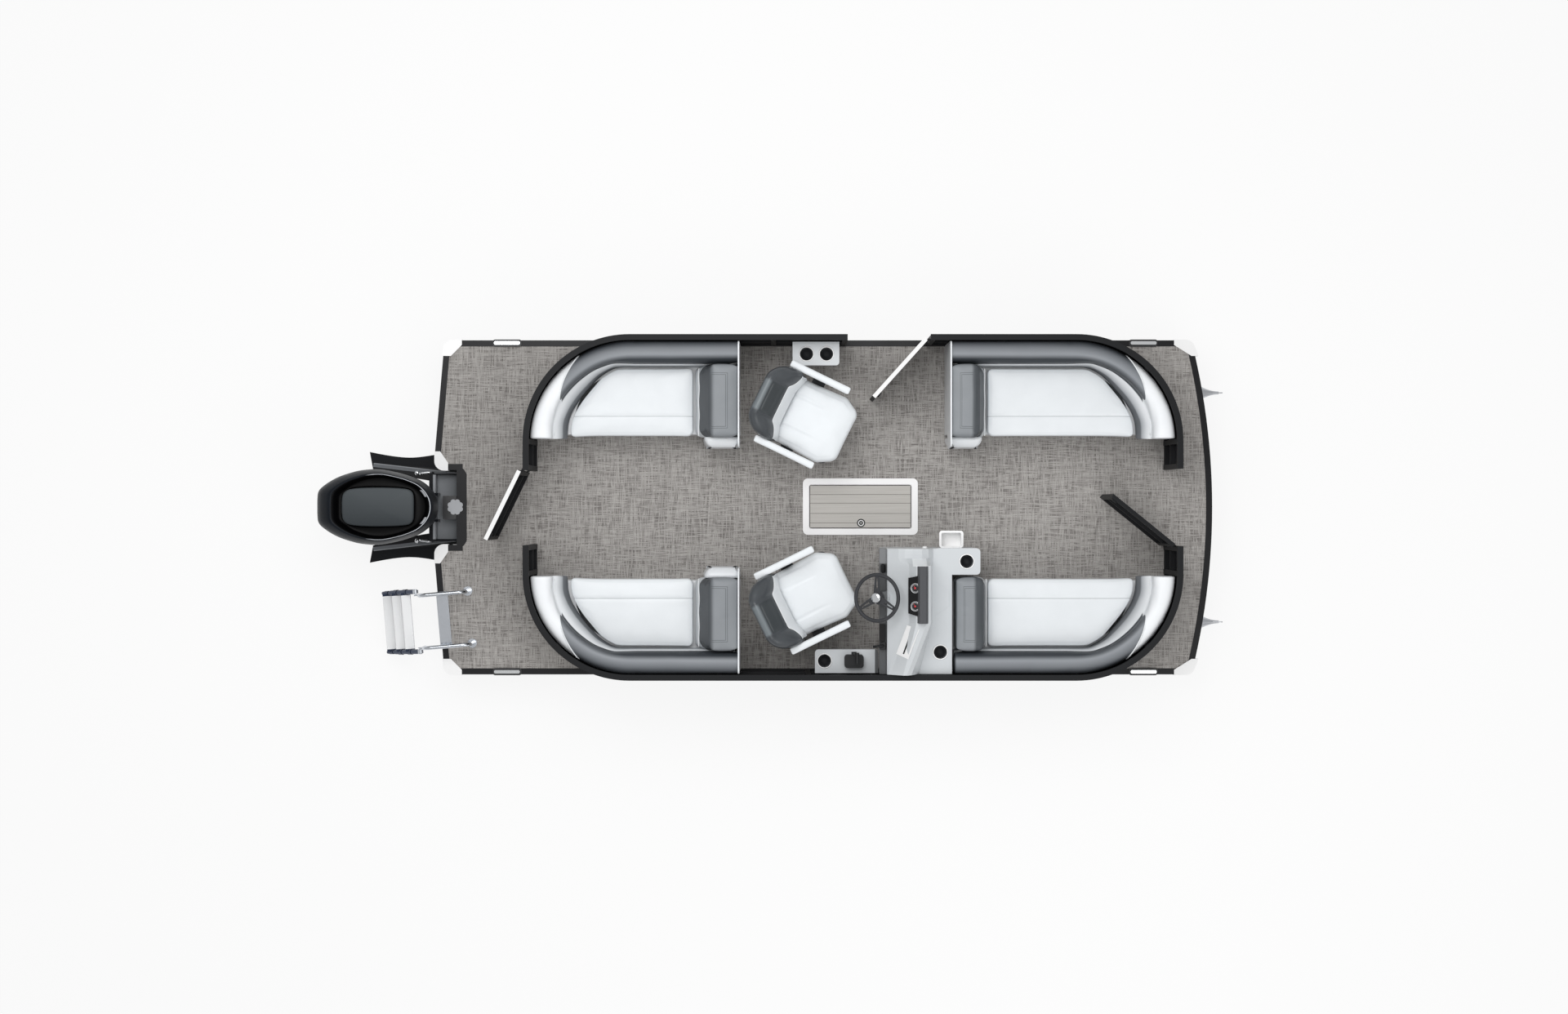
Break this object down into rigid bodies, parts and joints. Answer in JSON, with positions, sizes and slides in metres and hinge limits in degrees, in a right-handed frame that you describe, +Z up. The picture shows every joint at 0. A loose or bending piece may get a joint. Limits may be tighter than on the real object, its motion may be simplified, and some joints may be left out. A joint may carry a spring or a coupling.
{
  "type": "pontoon boat",
  "caption": "Pontoon boat with a fenced deck, lounges, swivel chairs, a helm console, gates, a boarding ladder and a tilting outboard motor, stored afloat.",
  "frame": {"origin": "on the waterline, on the centreline, at half the deck's length", "axes": "+X to the bow, +Y to port, +Z up"},
  "size_m": [6.9668, 2.603, 2.0003],
  "materials": {
    "hull_aluminium": "satin",
    "frame_aluminium": "mill",
    "pod_black": "satin",
    "cap_silver": "satin",
    "deck_vinyl": "woven vinyl",
    "trim_black": "satin",
    "cap_white": "gloss",
    "cleat_black": "satin",
    "locker_white": "gloss",
    "lid_beige": "ribbed",
    "fence_black": "satin",
    "skin_black": "gloss",
    "pedestal_metal": "satin",
    "console_grey": "gloss",
    "gauge_black": "gloss",
    "visor_dark": "satin",
    "control_black": "satin",
    "wheel_black": "soft grip",
    "motor_black": "gloss",
    "cowl_black": "gloss",
    "engine_block": "cast",
    "prop_metal": "satin",
    "ladder_chrome": "polished",
    "ladder_tube": "anodised",
    "base_white": "moulded",
    "vinyl_light": "marine vinyl",
    "vinyl_grey": "marine vinyl",
    "vinyl_dark": "marine vinyl",
    "shell_black": "moulded"
  },
  "bodies": {
    "boat": {"pontoon_port": "hull_aluminium", "pontoon_starboard": "hull_aluminium", "pontoon_centre": "hull_aluminium", "motor_pod": "pod_black", "well_box": "cap_silver", "crossmembers": "frame_aluminium", "deck_panel": "deck_vinyl", "deck_trim": "trim_black", "corner_caps": "cap_white", "cleats": "cleat_black", "floor_locker": "locker_white", "fence_port_aft": "fence_black", "fence_port_fwd": "fence_black", "fence_starboard": "fence_black", "fence_skins": "skin_black", "chair_pedestals": "pedestal_metal", "helm_console": "console_grey", "helm_gauges": "gauge_black", "helm_visor": "visor_dark", "helm_ledge": "console_grey", "helm_pocket": "locker_white", "throttle_control": "control_black", "port_shelf": "console_grey", "outboard_clamp": "motor_black", "ladder_mount": "ladder_chrome", "lounge_base_port_aft": "base_white", "lounge_back_port_aft": "vinyl_grey", "lounge_base_port_fwd": "base_white", "lounge_back_port_fwd": "vinyl_grey", "lounge_base_starboard_aft": "base_white", "lounge_back_starboard_aft": "vinyl_grey", "lounge_base_starboard_fwd": "base_white", "lounge_back_starboard_fwd": "vinyl_grey"},
    "gate_stern_leaf": {"gate_stern": "fence_black"},
    "gate_bow_leaf": {"gate_bow": "fence_black"},
    "gate_side_leaf": {"gate_side": "fence_black"},
    "locker_cover": {"locker_lid": "lid_beige"},
    "helm_wheel": {"steering_wheel": "wheel_black"},
    "motor_tilt": {"outboard_swivel": "motor_black"},
    "motor": {"outboard_midsection": "motor_black", "outboard_cowl": "cowl_black", "outboard_engine": "engine_block", "outboard_gearcase": "motor_black"},
    "prop": {"propeller": "prop_metal"},
    "ladder_stage_upper": {"ladder_upper": "ladder_tube"},
    "ladder_stage_lower": {"ladder_lower": "ladder_tube"},
    "seat_port_aft": {"lounge_seat_port_aft": "vinyl_light"},
    "seat_port_fwd": {"lounge_seat_port_fwd": "vinyl_light"},
    "seat_starboard_aft": {"lounge_seat_starboard_aft": "vinyl_light"},
    "seat_starboard_fwd": {"lounge_seat_starboard_fwd": "vinyl_light"},
    "chair_port": {"chair_shell_port": "shell_black", "chair_seat_port": "vinyl_light", "chair_back_port": "vinyl_dark", "chair_arms_port": "vinyl_light"},
    "chair_starboard": {"chair_shell_starboard": "shell_black", "chair_seat_starboard": "vinyl_light", "chair_back_starboard": "vinyl_dark", "chair_arms_starboard": "vinyl_light"}
  },
  "joints": [
    {"name": "stern_gate_swing", "type": "hinge", "parent": "boat", "child": "gate_stern_leaf", "pos_m": [-2.27, 0.284, 0.6], "axis": [0, 0, 1], "range_deg": [-94, 26]},
    {"name": "bow_gate_swing", "type": "hinge", "parent": "boat", "child": "gate_bow_leaf", "pos_m": [2.624, -0.284, 0.6], "axis": [0, 0, 1], "range_deg": [-51, 39]},
    {"name": "side_gate_swing", "type": "hinge", "parent": "boat", "child": "gate_side_leaf", "pos_m": [0.779, 1.258, 0.6], "axis": [0, 0, 1], "range_deg": [-48, 42]},
    {"name": "locker_cover_hinge", "type": "hinge", "parent": "boat", "child": "locker_cover", "pos_m": [0.2845, 0.173, 0.459], "axis": [-1, 0, 0], "range_deg": [0, 90]},
    {"name": "seat_lid_port_aft", "type": "hinge", "parent": "boat", "child": "seat_port_aft", "pos_m": [-1.457, 1.0375, 0.85], "axis": [-1, 0, 0], "range_deg": [0, 30]},
    {"name": "seat_lid_port_fwd", "type": "hinge", "parent": "boat", "child": "seat_port_fwd", "pos_m": [1.82, 1.0375, 0.85], "axis": [-1, 0, 0], "range_deg": [0, 30]},
    {"name": "seat_lid_starboard_aft", "type": "hinge", "parent": "boat", "child": "seat_starboard_aft", "pos_m": [-1.457, -1.0375, 0.85], "axis": [1, 0, 0], "range_deg": [0, 30]},
    {"name": "seat_lid_starboard_fwd", "type": "hinge", "parent": "boat", "child": "seat_starboard_fwd", "pos_m": [1.82, -1.0375, 0.85], "axis": [1, 0, 0], "range_deg": [0, 30]},
    {"name": "chair_swivel_port", "type": "hinge", "parent": "boat", "child": "chair_port", "pos_m": [-0.18595, 0.70053, 0.75], "axis": [0, 0, 1], "range_deg": [-144, 26]},
    {"name": "chair_swivel_starboard", "type": "hinge", "parent": "boat", "child": "chair_starboard", "pos_m": [-0.18595, -0.70053, 0.75], "axis": [0, 0, 1], "range_deg": [-26, 144]},
    {"name": "helm_turn", "type": "hinge", "parent": "boat", "child": "helm_wheel", "pos_m": [0.383, -0.671, 1.23], "axis": [-0.4305, 0, 0.9026], "range_deg": [-540, 540]},
    {"name": "motor_tilt_up", "type": "hinge", "parent": "boat", "child": "motor_tilt", "pos_m": [-3.035, 0, 0.485], "axis": [0, 1, 0], "range_deg": [0, 62]},
    {"name": "motor_steer", "type": "hinge", "parent": "motor_tilt", "child": "motor", "pos_m": [-3.12, 0, 0.3], "axis": [0, 0, 1], "range_deg": [-30, 30]},
    {"name": "prop_spin", "type": "hinge", "parent": "motor", "child": "prop", "pos_m": [-3.673, 0, -0.395], "axis": [1, 0, 0], "continuous": true},
    {"name": "ladder_fold", "type": "hinge", "parent": "boat", "child": "ladder_stage_upper", "pos_m": [-3.14, -0.885, 0.475], "axis": [-0.0854, 0.9963, 0], "range_deg": [0, 140]},
    {"name": "ladder_extend", "type": "slide", "parent": "ladder_stage_upper", "child": "ladder_stage_lower", "axis": [-0.6404, -0.0549, -0.766], "range_m": [0, 0.22]}
  ]
}
